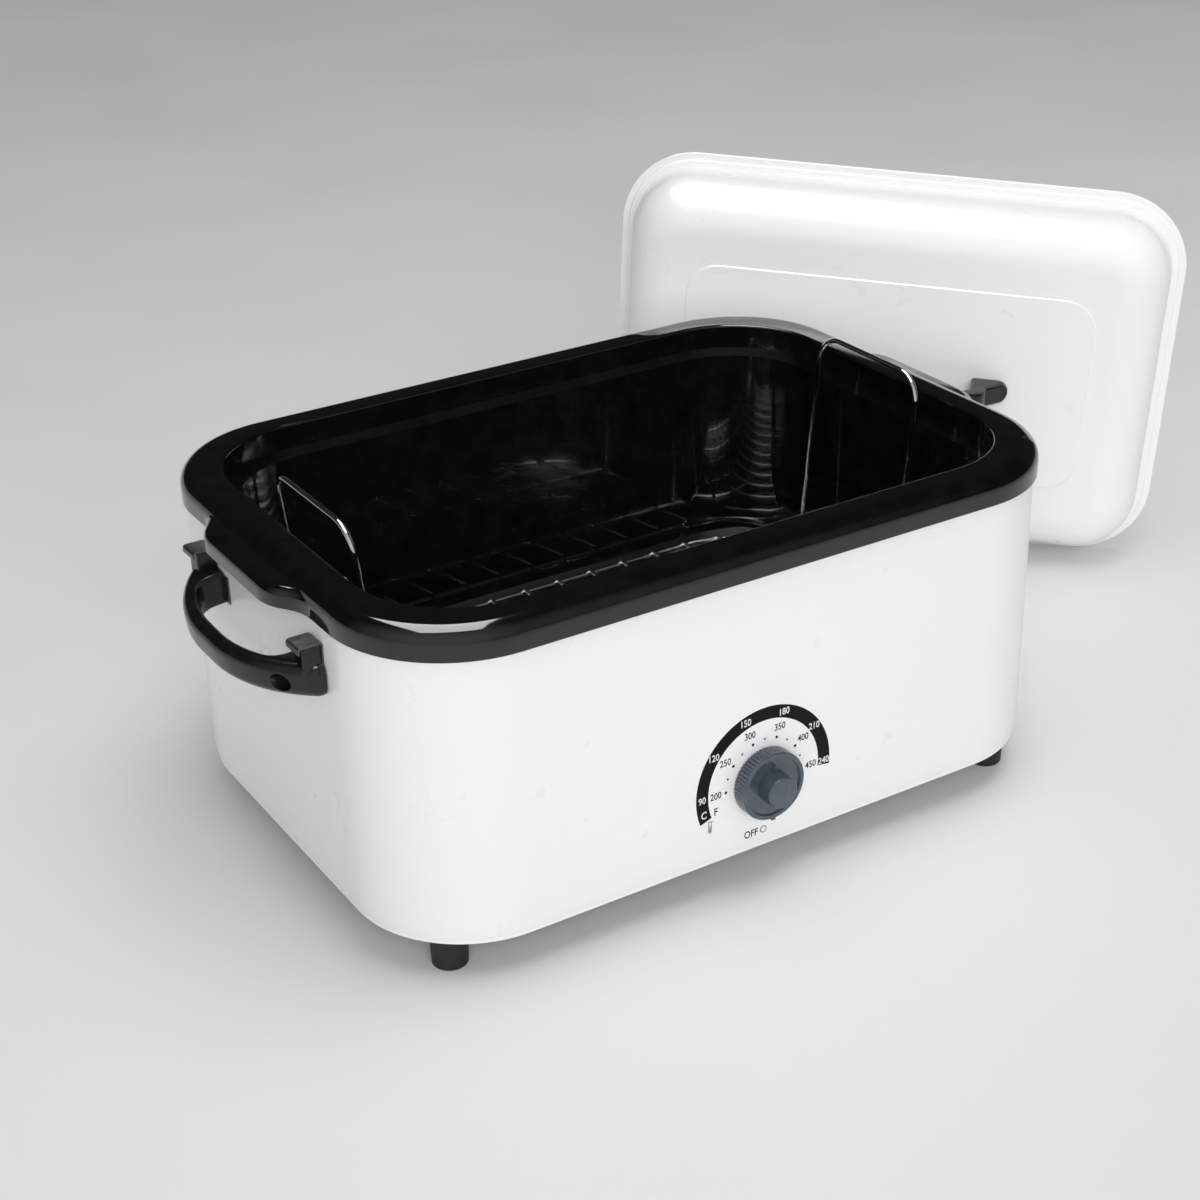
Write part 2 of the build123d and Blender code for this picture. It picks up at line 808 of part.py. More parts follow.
screw_head_x = bracket_face + counterbore_floor
nut_outer_x = half_length - housing_sheet
with BuildPart() as handle_screws:
    for side in (-1, 1):
        shank_from = Plane.YZ.offset(side * screw_head_x)
        with BuildSketch(shank_from):
            with Locations(*side_screw_places):
                Circle(handle_screw_radius)
        shank_length = screw_head_x - nut_outer_x + handle_nut_height + screw_proud
        extrude(amount=-side * shank_length)
        with BuildSketch(shank_from):
            with Locations(*side_screw_places):
                Circle(handle_head_radius)
        extrude(amount=side * handle_head_height)
    domes = handle_screws.faces().sort_by(Axis.X)
    fillet([*domes[:2].edges(), *domes[-2:].edges()], radius=handle_head_round)
    for side in (-1, 1):
        with BuildSketch(Plane.YZ.offset(side * (screw_head_x + handle_head_height))):
            with Locations(*side_screw_places):
                Rectangle(cross_slot_width, cross_slot_length)
                Rectangle(cross_slot_length, cross_slot_width)
        extrude(amount=-side * cross_slot_depth, mode=Mode.SUBTRACT)
save(handle_screws, "handle_screws")

with BuildPart() as handle_nuts:
    for side in (-1, 1):
        with BuildSketch(Plane.YZ.offset(side * nut_outer_x)):
            with Locations(*side_screw_places):
                RegularPolygon(handle_nut_radius, 6)
                Circle(handle_screw_radius + thread_gap, mode=Mode.SUBTRACT)
        extrude(amount=-side * handle_nut_height)
save(handle_nuts, "handle_nuts")

# ------------------------------------------------------ knob and thermostat

dial_plane = Plane(origin=(dial_x, 0, dial_z), x_dir=(1, 0, 0), z_dir=(0, -1, 0))
knob_back = half_width + knob_gap
knob_front = knob_back + knob_depth
housing_inside = half_width - housing_sheet
well_outside = well_width / 2 + well_sheet
thermostat_front = housing_inside - thermostat_air
thermostat_back = well_outside + probe_length
bushing_front = half_width + bushing_reach
shaft_back = thermostat_back + shaft_end
shaft_front = knob_back + shaft_seat

knurl_side = sqrt(2) * knurl_depth

with BuildPart() as temperature_knob:
    with BuildSketch(dial_plane.offset(knob_back)):
        Circle(knob_radius)
        with PolarLocations(knob_radius, knurl_count):
            Rectangle(knurl_side, knurl_side, rotation=45, mode=Mode.SUBTRACT)
    extrude(amount=knob_depth - knob_band)
    with BuildSketch(dial_plane.offset(knob_front - knob_band)):
        Circle(knob_radius)
    extrude(amount=knob_band)
    chamfer(temperature_knob.faces().sort_by(Axis.Y)[0].edges(), length=knob_band_edge)
    # dished face inside the raised edge
    with BuildSketch(dial_plane.offset(knob_front)):
        Circle(knob_radius - knob_rim)
    extrude(amount=-knob_face_sink, taper=knob_face_draft, mode=Mode.SUBTRACT)
    with BuildSketch(dial_plane.offset(knob_front - knob_face_sink)):
        Circle(hub_radius)
    extrude(amount=hub_depth + knob_face_sink, taper=hub_draft)
    fillet(temperature_knob.faces().sort_by(Axis.Y)[0].edges(), radius=hub_edge)
    # pointer rib from the hub over the upper face, opposite the tick at the edge
    with BuildSketch(dial_plane.offset(knob_front - knob_face_sink)):
        with BuildLine():
            Polyline(
                (-rib_width / 2, hub_radius - hub_wall),
                (rib_width / 2, hub_radius - hub_wall),
                (rib_width / 2, hub_radius - hub_wall + rib_length - rib_point),
                (0, hub_radius - hub_wall + rib_length),
                (-rib_width / 2, hub_radius - hub_wall + rib_length - rib_point),
                close=True,
            )
        make_face()
    extrude(amount=rib_height)
    with BuildSketch(dial_plane.offset(knob_front - tick_width)):
        with Locations((0, -knob_radius)):
            Rectangle(tick_width, 2 * tick_reach)
    extrude(amount=tick_width)
    # hollow back that clears the bushing's nut, and the shaft's socket with its clip
    with BuildSketch(dial_plane.offset(knob_back)):
        Circle(knob_radius - knob_wall - knurl_depth)
        Circle(hub_radius - hub_wall, mode=Mode.SUBTRACT)
    extrude(amount=knob_depth - knob_face_sink - knob_wall, mode=Mode.SUBTRACT)
    with BuildSketch(dial_plane.offset(knob_back)):
        Circle(nut_across / 2 + nut_room)
    extrude(amount=bushing_reach + knob_play, mode=Mode.SUBTRACT)
    with BuildSketch(dial_plane.offset(knob_back)):
        Circle(shaft_radius + clip_wall + shaft_fit)
    extrude(amount=shaft_seat + knob_play, mode=Mode.SUBTRACT)
save(temperature_knob, "temperature_knob")

with BuildPart() as thermostat_shaft:
    with BuildSketch(dial_plane.offset(shaft_back)):
        Circle(shaft_radius)
    extrude(amount=shaft_front - shaft_back)
    with BuildSketch(dial_plane.offset(bushing_front + shaft_flat_gap)):
        with Locations((0, shaft_radius)):
            Rectangle(2 * shaft_radius, 2 * shaft_flat)
    extrude(amount=shaft_front - bushing_front, mode=Mode.SUBTRACT)
    chamfer(thermostat_shaft.faces().sort_by(Axis.Y)[0].edges(), length=shaft_edge)
save(thermostat_shaft, "thermostat_shaft")

with BuildPart() as knob_clip:
    with BuildSketch(dial_plane.offset(shaft_front - clip_length)):
        Circle(shaft_radius + clip_wall + shaft_fit / 2)
        Circle(shaft_radius + shaft_fit / 2, mode=Mode.SUBTRACT)
        with Locations((0, -shaft_radius)):
            Rectangle(clip_slit, shaft_radius, mode=Mode.SUBTRACT)
    extrude(amount=clip_length)
save(knob_clip, "knob_clip")

with BuildPart() as thermostat_body:
    thermostat_mid = thermostat_low + thermostat_height / 2 - dial_z
    with BuildSketch(dial_plane.offset(thermostat_back)):
        with Locations((0, thermostat_mid)):
            RectangleRounded(thermostat_width, thermostat_height, thermostat_corner)
    extrude(amount=thermostat_front - thermostat_back)
    chamfer(thermostat_body.faces().sort_by(Axis.Y)[0].edges(), length=thermostat_edge)
    with BuildSketch(dial_plane.offset(thermostat_front)):
        Circle(bushing_radius)
    extrude(amount=bushing_front - thermostat_front)
    with BuildSketch(dial_plane.offset(shaft_back - shaft_end_gap)):
        Circle(shaft_radius + shaft_fit)
    extrude(amount=bushing_front - shaft_back + shaft_end_gap, mode=Mode.SUBTRACT)
save(thermostat_body, "thermostat_body")

with BuildPart() as thermostat_nut:
    with BuildSketch(dial_plane.offset(half_width)):
        RegularPolygon(nut_across / 2, 6, major_radius=False)
        Circle(bushing_radius + thread_gap, mode=Mode.SUBTRACT)
    extrude(amount=nut_height)
save(thermostat_nut, "thermostat_nut")

with BuildPart() as thermostat_probe:
    with BuildSketch(dial_plane.offset(well_outside)):
        with Locations((0, probe_z - dial_z)):
            Circle(probe_radius)
    extrude(amount=thermostat_back - well_outside)
save(thermostat_probe, "thermostat_probe")

# ------------------------------------------------------- heater and blanket

band_inside = (well_length + 2 * well_sheet, well_width + 2 * well_sheet)
band_corner = well_corner + well_sheet


def ring(inner_gap, thickness):
    """A closed ring in plan that follows the well's outside."""
    with BuildSketch() as section:
        outer = inner_gap + thickness
        RectangleRounded(
            band_inside[0] + 2 * outer, band_inside[1] + 2 * outer, band_corner + outer
        )
        RectangleRounded(
            band_inside[0] + 2 * inner_gap,
            band_inside[1] + 2 * inner_gap,
            band_corner + inner_gap,
            mode=Mode.SUBTRACT,
        )
    return section.sketch


with BuildPart() as heating_element:
    with BuildSketch(Plane.XY.offset(band_low)):
        add(ring(0, band_thick))
        with Locations((dial_x, front_wall)):
            Rectangle(2 * band_break, well_inset * 4, mode=Mode.SUBTRACT)
    extrude(amount=band_height)
    # flat terminals at both ends of the band
    with BuildSketch(Plane.XY.offset(band_low + (band_height - terminal_width) / 2)):
        for side in (-1, 1):
            with Locations((dial_x + side * (band_break + terminal_inset), -well_outside - band_thick)):
                Rectangle(terminal_thick, terminal_reach, align=(Align.CENTER, Align.MAX))
    extrude(amount=terminal_width)
save(heating_element, "heating_element")

clip_x = half_length - clip_inset
with BuildPart() as element_clips:
    # a hat-shaped strap over the band, its two feet spot-welded to the well
    for side in (-1, 1):
        inner_y = side * well_outside
        outer_y = side * (well_outside + band_thick)
        step_y = side * clip_band_thick
        with BuildSketch(Plane.YZ.offset(clip_x + clip_band_width / 2)):
            with BuildLine():
                Polyline(
                    (inner_y, band_low - clip_lap),
                    (inner_y, band_low),
                    (outer_y, band_low),
                    (outer_y, band_low + band_height),
                    (inner_y, band_low + band_height),
                    (inner_y, band_low + band_height + clip_lap),
                    (inner_y + step_y, band_low + band_height + clip_lap),
                    (inner_y + step_y, band_low + band_height + clip_band_thick),
                    (outer_y + step_y, band_low + band_height + clip_band_thick),
                    (outer_y + step_y, band_low - clip_band_thick),
                    (inner_y + step_y, band_low - clip_band_thick),
                    (inner_y + step_y, band_low - clip_lap),
                    close=True,
                )
            make_face()
        extrude(amount=-clip_band_width)
    mirror(about=Plane.YZ)
save(element_clips, "element_clips")

wrap_inner = band_thick + wrap_gap
with BuildPart() as insulation_wrap:
    with BuildSketch(Plane.XY.offset(wrap_low)):
        add(ring(wrap_inner, wrap_thick))
        with Locations((dial_x, front_wall)):
            Rectangle(2 * (band_break + wrap_heater_room), well_inset * 4, mode=Mode.SUBTRACT)
    extrude(amount=body_height - wrap_top_gap - wrap_low)
    with BuildSketch(Plane.YZ.offset(-half_length)):
        with Locations(*side_screw_places):
            Circle(wrap_notch)
    extrude(amount=body_length, mode=Mode.SUBTRACT)
    with BuildSketch(Plane.XZ.offset(-half_width)):
        with Locations((gland_x, gland_z)):
            Circle(wrap_gland_room)
    extrude(amount=well_inset * 2, mode=Mode.SUBTRACT)
save(insulation_wrap, "insulation_wrap")

# -------------------------------------------------------------- mains entry

gland_plane = Plane(origin=(gland_x, half_width, gland_z), x_dir=(-1, 0, 0), z_dir=(0, 1, 0))
with BuildPart() as cord_gland:
    with BuildSketch(gland_plane.offset(-gland_tail)):
        Circle(gland_radius)
    extrude(amount=gland_tail)
    with BuildSketch(gland_plane):
        Circle(gland_flange_radius)
    extrude(amount=gland_flange)
    fillet(cord_gland.faces().sort_by(Axis.Y)[-1].edges(), radius=gland_round)
    with BuildSketch(gland_plane.offset(gland_flange)):
        Circle(gland_radius)
    extrude(amount=gland_nose, taper=gland_draft)
    with BuildSketch(gland_plane.offset(-gland_tail)):
        Circle(gland_bore)
    extrude(amount=gland_tail + gland_flange + gland_nose, mode=Mode.SUBTRACT)
save(cord_gland, "cord_gland")

with BuildPart() as terminal_block:
    block_y = half_width - block_inset
    with BuildSketch(Plane.XY.offset(plate_top)):
        with Locations((gland_x, block_y)):
            Rectangle(block_length, block_width)
    extrude(amount=block_height)
    chamfer(terminal_block.faces().sort_by(Axis.Z)[-1].edges(), length=block_edge)
    with BuildSketch(Plane.XY.offset(plate_top + block_height)):
        with Locations((gland_x, block_y)):
            with GridLocations(block_pitch, 0, 3, 1):
                Circle(block_well_radius)
    extrude(amount=-block_well_depth, mode=Mode.SUBTRACT)
save(terminal_block, "terminal_block")

# ---------------------------------------------------------------------- rack

rack_length = basin_length - 2 * rack_margin
rack_width = basin_width - 2 * rack_margin
cross_pitch = rack_length / (cross_count + 1)
frame_level = basin_floor + rack_leg
cross_level = frame_level + frame_wire + cross_wire - weld
runner_level = cross_level - cross_wire - runner_wire + weld
hinge_x = rack_length / 2

with BuildSketch(Plane.XY.offset(frame_level)) as frame_outline:
    RectangleRounded(rack_length, rack_width, rack_corner)
frame_line = frame_outline.sketch.face().outer_wire()

with BuildPart() as roasting_rack:
    with BuildSketch(Plane.XZ):
        with Locations((hinge_x, frame_level)):
            Circle(frame_wire)
    sweep(path=frame_line)
    for i in range(cross_count):
        x = (i - (cross_count - 1) / 2) * cross_pitch
        reach = rack_width / 2
        with BuildSketch(Plane.XZ.offset(-reach)):
            with Locations((x, cross_level)):
                Circle(cross_wire)
        extrude(amount=2 * reach)
    for side in (-1, 1):
        with BuildSketch(Plane.YZ.offset(-hinge_x)):
            with Locations((side * runner_y, runner_level)):
                Circle(runner_wire)
        extrude(amount=2 * hinge_x)
        with BuildSketch(Plane.XY.offset(basin_floor + rack_leg_gap)):
            with Locations((0, side * runner_y)):
                with GridLocations(leg_pitch, 0, 3, 1):
                    Circle(leg_wire)
        extrude(amount=runner_level - basin_floor - rack_leg_gap)
save(roasting_rack, "roasting_rack")

bail_axes = Plane(
    origin=(hinge_x, 0, frame_level),
    x_dir=(0, 1, 0),
    z_dir=(cos(radians(bail_lean)), 0, -sin(radians(bail_lean))),
)
with BuildPart() as rack_bail_right:
    with BuildLine(bail_axes) as bail_path:
        FilletPolyline(
            (-bail_span / 2, frame_wire + eye_wall / 2),
            (-bail_span / 2, bail_height),
            (bail_span / 2, bail_height),
            (bail_span / 2, frame_wire + eye_wall / 2),
            radius=bail_corner,
        )
    with BuildSketch(Plane(origin=bail_path.line @ 0, z_dir=bail_path.line % 0)):
        Circle(bail_wire)
    sweep(path=bail_path.line)
    for side in (-1, 1):
        eye_plane = Plane.XZ.offset(-side * bail_span / 2 - eye_width / 2)
        with BuildSketch(eye_plane):
            with Locations((hinge_x, frame_level)):
                Circle(frame_wire + eye_fit + eye_wall)
        extrude(amount=eye_width)
        with BuildSketch(eye_plane):
            with Locations((hinge_x, frame_level)):
                Circle(frame_wire + eye_fit)
        extrude(amount=eye_width, mode=Mode.SUBTRACT)
save(rack_bail_right, "rack_bail_right")

with BuildPart() as rack_bail_left:
    add(rack_bail_right.part)
    mirror(about=Plane.YZ, mode=Mode.REPLACE)
save(rack_bail_left, "rack_bail_left")

# ----------------------------------------------------------------------- lid

lid_length = seat_length - 2 * lid_fit
lid_width = seat_width - 2 * lid_fit
turn = radians(lid_turn)
roll = radians(lid_roll)
# half the lid's height as it stands: its straight side, its short end and its corner
lid_stand_height = (
    (lid_width / 2 - lid_corner) * cos(roll) + (lid_length / 2 - lid_corner) * sin(roll) + lid_corner
)
lid_plane = Plane(
    origin=(half_length + lid_away_x, half_width + lid_away_y, floor_level + lid_stand_height),
    x_dir=(cos(turn) * cos(roll), -sin(turn) * cos(roll), -sin(roll)),
    z_dir=(-sin(turn), -cos(turn), 0),
)
dome_base = flange_edge + flange_step
face_level = dome_height + panel_rise
lid_screw_half = lid_opening_half + lid_leg / 2
screw_spots = [(-lid_screw_half, 0), (lid_screw_half, 0)]


def lid_ring(inset):
    """The lid's outline in plan, drawn in from its outer edge."""
    return RectangleRounded(
        lid_length - 2 * inset, lid_width - 2 * inset, lid_corner - inset, mode=Mode.PRIVATE
    )


def lid_form(skin):
    """The dome with its panel in the lid's own plane, or with a skin the space under it."""
    with BuildPart() as dome:
        with BuildSketch(Plane.XY):
            add(lid_ring(dome_inset + skin))
        extrude(amount=dome_height - skin, taper=dome_draft)
        fillet(dome.faces().sort_by(Axis.Z)[-1].edges(), radius=dome_round - skin)
        with BuildSketch(Plane.XY.offset(dome_height - skin)):
            RectangleRounded(panel_length - 2 * skin, panel_width - 2 * skin, panel_corner - skin)
        extrude(amount=panel_rise, taper=45)
    return dome.part


lid_outside = lid_form(0)
lid_inside = lid_form(lid_sheet)

with BuildPart() as lid_step:
    with BuildSketch(Plane.XY):
        add(lid_ring(flange_band))
    extrude(amount=dome_base)
    fillet(lid_step.faces().sort_by(Axis.Z)[-1].edges(), radius=flange_step_round)

with BuildPart() as lid_local:
    with BuildSketch(Plane.XY):
        add(lid_ring(0))
    extrude(amount=flange_edge)
    fillet(lid_local.faces().sort_by(Axis.Z)[-1].edges(), radius=flange_edge_round)
    fillet(lid_local.faces().sort_by(Axis.Z)[0].edges(), radius=flange_edge_round)
    add(lid_step.part)
    add(lid_outside)
    add(lid_inside, mode=Mode.SUBTRACT)
    with BuildSketch(Plane.XY):
        add(lid_ring(flange_band + lid_sheet))
    extrude(amount=dome_base - lid_sheet, mode=Mode.SUBTRACT)
    with BuildSketch(Plane.XY.offset(dome_height - dome_round)):
        with Locations(*screw_spots):
            Circle(lid_screw_radius + screw_clearance)
    extrude(amount=2 * dome_round, mode=Mode.SUBTRACT)

with BuildPart() as lid_shell:
    add(lid_plane * lid_local.part)
save(lid_shell, "lid_shell")

lid_leg_outside = lid_opening_half + lid_leg
lid_foot_half = lid_leg_outside + lid_foot_flare
lid_handle_height = lid_opening_height + lid_grip_thick
flare_top = lid_foot_edge + lid_foot_flare
with BuildPart() as lid_handle_local:
    # side view of the bow, with its feet flaring outwards
    with BuildSketch(Plane.XZ.offset(-lid_handle_width / 2)) as bow_side:
        with BuildLine():
            Polyline(
                (-lid_foot_half, 0),
                (-lid_foot_half, lid_foot_edge),
                (-lid_leg_outside, flare_top),
                (-lid_leg_outside, lid_handle_height),
                (lid_leg_outside, lid_handle_height),
                (lid_leg_outside, flare_top),
                (lid_foot_half, lid_foot_edge),
                (lid_foot_half, 0),
                close=True,
            )
        make_face()
        corners = bow_side.vertices()
        fillet([v for v in corners if is_near(v.Y, lid_handle_height)], radius=lid_handle_round)
        fillet([v for v in corners if is_near(v.Y, flare_top)], radius=lid_foot_round)
        fillet([v for v in corners if is_near(v.Y, lid_foot_edge)], radius=lid_handle_edge + 1)
        RectangleRounded(
            2 * lid_opening_half, 2 * lid_opening_height, lid_opening_corner, mode=Mode.SUBTRACT
        )
    extrude(amount=lid_handle_width)
    side_edges = lid_handle_local.edges().filter_by(
        lambda e: abs((e @ 0.5).Y) > lid_handle_width / 2 - 0.1 and (e @ 0.5).Z > 0.1
    )
    fillet(side_edges, radius=lid_handle_edge)
    # the feet are round in plan
    with BuildSketch(Plane.XY):
        SlotOverall(2 * lid_foot_half, lid_handle_width)
    extrude(amount=lid_handle_height, mode=Mode.INTERSECT)
    with BuildSketch(Plane.XY):
        with Locations(*screw_spots):
            Circle(lid_screw_radius + thread_gap)
    extrude(amount=lid_screw_depth, mode=Mode.SUBTRACT)

with BuildPart() as lid_handle:
    add(lid_plane.offset(face_level) * lid_handle_local.part)
save(lid_handle, "lid_handle")

dome_under = face_level - lid_sheet
with BuildPart() as lid_washers_local:
    with BuildSketch(Plane.XY.offset(dome_under)):
        with Locations(*screw_spots):
            Circle(washer_radius)
            Circle(lid_screw_radius + screw_clearance, mode=Mode.SUBTRACT)
    extrude(amount=-washer_thick)
with BuildPart() as lid_handle_washers:
    add(lid_plane * lid_washers_local.part)
save(lid_handle_washers, "lid_handle_washers")

with BuildPart() as lid_screws_local:
    screw_seat = dome_under - washer_thick
    with BuildSketch(Plane.XY.offset(screw_seat)):
        with Locations(*screw_spots):
            Circle(lid_screw_radius)
    extrude(amount=lid_sheet + washer_thick + lid_screw_depth - 1)
    with BuildSketch(Plane.XY.offset(screw_seat)):
        with Locations(*screw_spots):
            Circle(lid_screw_head)
    extrude(amount=-lid_screw_head_height)
    fillet(lid_screws_local.faces().sort_by(Axis.Z)[:2].edges(), radius=lid_screw_head_round)
with BuildPart() as lid_handle_screws:
    add(lid_plane * lid_screws_local.part)
save(lid_handle_screws, "lid_handle_screws")
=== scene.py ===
"""Electric roaster oven: its finishes, the print round its knob and the stage."""

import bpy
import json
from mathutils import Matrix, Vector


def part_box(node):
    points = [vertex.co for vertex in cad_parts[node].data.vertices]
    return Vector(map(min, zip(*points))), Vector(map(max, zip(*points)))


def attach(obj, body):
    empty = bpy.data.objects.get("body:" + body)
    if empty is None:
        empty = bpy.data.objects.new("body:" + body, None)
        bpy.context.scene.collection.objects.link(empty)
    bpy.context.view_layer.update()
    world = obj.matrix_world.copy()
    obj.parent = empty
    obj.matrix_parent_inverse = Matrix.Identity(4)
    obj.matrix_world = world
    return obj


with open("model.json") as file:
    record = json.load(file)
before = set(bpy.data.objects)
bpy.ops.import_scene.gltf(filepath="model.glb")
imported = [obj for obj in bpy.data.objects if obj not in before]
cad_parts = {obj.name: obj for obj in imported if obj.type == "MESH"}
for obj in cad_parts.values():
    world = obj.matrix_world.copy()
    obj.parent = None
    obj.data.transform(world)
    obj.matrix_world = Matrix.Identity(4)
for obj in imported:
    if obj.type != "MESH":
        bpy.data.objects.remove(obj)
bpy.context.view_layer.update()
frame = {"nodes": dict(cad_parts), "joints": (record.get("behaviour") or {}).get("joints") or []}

import json
import math

import bpy
from bpy.props import FloatProperty, FloatVectorProperty, PointerProperty
from mathutils import Matrix, Vector

bl_info = {
    "name": "Roaster Oven",
    "version": (1, 0, 0),
    "blender": (4, 5, 0),
    "location": "3D View > Sidebar > Roaster",
    "description": "Finishes, printed dial and stage of an electric roaster oven",
    "category": "Add Mesh",
}

NODES = frame["nodes"]

FRONT_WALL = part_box("outer_housing")[0].y
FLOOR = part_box("foot_front_left")[0].z
DIAL = next(Vector(joint["pos_m"]) for joint in frame["joints"] if joint["name"] == "knob_turn")

# The print's layout: places are (across, up) from the knob's axis in metres, and turns are in
# degrees, anticlockwise from its right.
CELSIUS = range(90, 241, 30)
FAHRENHEIT = range(200, 451, 50)
BAND_START, BAND_END = -6.0, 200.0
BAND_STEPS = 72
CELSIUS_SIGN_TURN = 193.5
FAHRENHEIT_SIGN = (-0.0405, -0.0125)
OFF_SIGN = (-0.0105, -0.041)
OFF_RING = (0.0, -0.041)
OFF_RING_INNER, OFF_RING_OUTER = 0.0021, 0.0028
THERMOMETER_SIGN = (-0.0455, -0.0245)
NUMBER_DOT, HALFWAY_DOT = 0.0011, 0.0008

# The lettering: a capital's share of the built-in font's size, the squeeze across, the share of
# the height that thickens each stroke, and the steps of each curve.
CAPITAL_SHARE = 0.7
LETTER_SQUEEZE = 0.84
STROKE_SHARE = 0.02
LETTER_STEPS = 4

# The camera, in degrees, metres and, for its lens and sensor, millimetres.
CAMERA_TARGET = Vector((-0.01183, 0.0, 0.11453))
CAMERA_DISTANCE = 1.6404
CAMERA_AZIMUTH = -31.335
CAMERA_ELEVATION = 26.685
CAMERA_ROLL = -1.516
CAMERA_LENS = 65.42
CAMERA_SENSOR = 36.0

LAMP_AIM = Vector((0.1, 0.0, 0.1))
FLOOR_SIZE = 30.0

# Painted shade on the floor: its colour darkens by half between two distances along its ramp,
# which is turned by this angle.
RAMP_TURN = 52.0
RAMP_START, RAMP_END = 0.3, 4.5
RAMP_SHADE = 0.5

# Gloss mirrors a surround that is brightest in this direction.
BRIGHT_SIDE = (-0.6, -0.75, 0.28)
BRIGHT_FROM, BRIGHT_TO = 0.2, 0.95
MIRRORED_DARKEST, MIRRORED_BRIGHTEST = 0.02, 0.6


# ------------------------------------------------------------------ finishes


class Finish:
    """One procedural material: a Principled shader with patterns on Object coordinates."""

    def __init__(self, name, colour, roughness, metallic=0.0, **sockets):
        self.material = bpy.data.materials.new(name)
        self.material.use_nodes = True
        self.nodes = self.material.node_tree.nodes
        self.links = self.material.node_tree.links
        self.shader = self.nodes["Principled BSDF"]
        self.where = self.nodes.new("ShaderNodeTexCoord").outputs["Object"]
        self.normal = None
        self.set("Base Color", (*colour, 1.0))
        self.set("Roughness", roughness)
        self.set("Metallic", metallic)
        for socket, value in sockets.items():
            self.set(socket.replace("_", " "), value)

    def set(self, socket, value):
        self.shader.inputs[socket].default_value = value

    def placed(self, stretch=(1, 1, 1), turn=(0, 0, 0)):
        """Object coordinates, stretched or turned by a Mapping node."""
        mapping = self.nodes.new("ShaderNodeMapping")
        mapping.inputs["Scale"].default_value = stretch
        mapping.inputs["Rotation"].default_value = turn
        self.links.new(self.where, mapping.inputs["Vector"])
        return mapping.outputs["Vector"]

    def noise(self, scale, detail=2.0, distortion=0.0, stretch=(1, 1, 1)):
        """Soft clouds, about one part in scale of a metre across."""
        node = self.nodes.new("ShaderNodeTexNoise")
        node.inputs["Scale"].default_value = scale
        node.inputs["Detail"].default_value = detail
        node.inputs["Distortion"].default_value = distortion
        self.links.new(self.placed(stretch), node.inputs["Vector"])
        return node.outputs["Fac"]

    def cells(self, scale, output="Distance"):
        """Irregular cells, each by the distance to its middle or by its own random colour."""
        node = self.nodes.new("ShaderNodeTexVoronoi")
        node.inputs["Scale"].default_value = scale
        self.links.new(self.placed(), node.inputs["Vector"])
        return node.outputs[output]

    def graded(self, factor, low, high, start=0.3, end=0.7):
        """A factor's middle range spread from low to high."""
        node = self.nodes.new("ShaderNodeMapRange")
        node.inputs["From Min"].default_value = start
        node.inputs["From Max"].default_value = end
        node.inputs["To Min"].default_value = low
        node.inputs["To Max"].default_value = high
        self.links.new(factor, node.inputs["Value"])
        return node.outputs["Result"]

    def shaded(self, factor, first, second, start=0.3, end=0.7):
        """Base colour that runs from the first to the second with the factor."""
        mix = self.nodes.new("ShaderNodeMix")
        mix.data_type = "RGBA"
        mix.inputs["A"].default_value = (*first, 1.0)
        mix.inputs["B"].default_value = (*second, 1.0)
        self.links.new(self.graded(factor, 0.0, 1.0, start, end), mix.inputs["Factor"])
        self.links.new(mix.outputs["Result"], self.shader.inputs["Base Color"])

    def rough(self, factor, low, high):
        """Roughness that runs from low to high with the factor."""
        self.links.new(self.graded(factor, low, high), self.shader.inputs["Roughness"])

    def relief(self, factor, depth, strength=1.0):
        """A bump of the given depth in metres, added to those before it."""
        bump = self.nodes.new("ShaderNodeBump")
        bump.inputs["Distance"].default_value = depth
        bump.inputs["Strength"].default_value = strength
        self.links.new(factor, bump.inputs["Height"])
        if self.normal:
            self.links.new(self.normal, bump.inputs["Normal"])
        self.normal = bump.outputs["Normal"]
        self.links.new(self.normal, self.shader.inputs["Normal"])


def grey(tone):
    """A neutral colour."""
    return (tone, tone, tone)


def white_enamel():
    """Stoved white paint: a faint orange peel under a clear gloss."""
    finish = Finish(
        "white_enamel", (0.87, 0.872, 0.876), 0.3, Coat_Weight=0.25, Coat_Roughness=0.1
    )
    finish.shaded(finish.noise(5.0, 2.0), (0.866, 0.868, 0.873), (0.874, 0.876, 0.88))
    finish.rough(finish.noise(30.0, 3.0), 0.27, 0.33)
    finish.relief(finish.noise(420.0, 1.0), 0.000008, 0.4)
    return finish.material


def black_enamel():
    """Fired black enamel: deep gloss, slow waves and fine pinholes."""
    finish = Finish(
        "black_enamel", (0.003, 0.003, 0.0032), 0.07, Coat_Weight=0.5, Coat_Roughness=0.03
    )
    finish.shaded(finish.noise(60.0, 4.0), (0.002, 0.002, 0.0022), (0.005, 0.005, 0.0052))
    finish.rough(finish.noise(25.0, 4.0), 0.05, 0.13)
    finish.relief(finish.noise(28.0, 2.0), 0.0002, 0.25)
    finish.relief(finish.noise(520.0, 2.0), 0.00001, 0.6)
    return finish.material


def black_phenolic():
    """Moulded black handles: satin skin with a fine sparkle of filler."""
    finish = Finish("black_phenolic", grey(0.006), 0.2)
    finish.shaded(finish.noise(90.0, 5.0), grey(0.004), grey(0.009))
    finish.rough(finish.noise(45.0, 4.0), 0.14, 0.25)
    finish.relief(finish.noise(900.0, 2.0), 0.00002, 0.5)
    return finish.material


def foot_rubber():
    """Matt black rubber with a fine tooth."""
    finish = Finish("foot_rubber", grey(0.012), 0.6)
    finish.shaded(finish.noise(120.0, 5.0), grey(0.009), (0.02, 0.02, 0.019))
    finish.rough(finish.noise(60.0, 4.0), 0.5, 0.72)
    finish.relief(finish.noise(1300.0, 3.0), 0.00004, 0.6)
    return finish.material


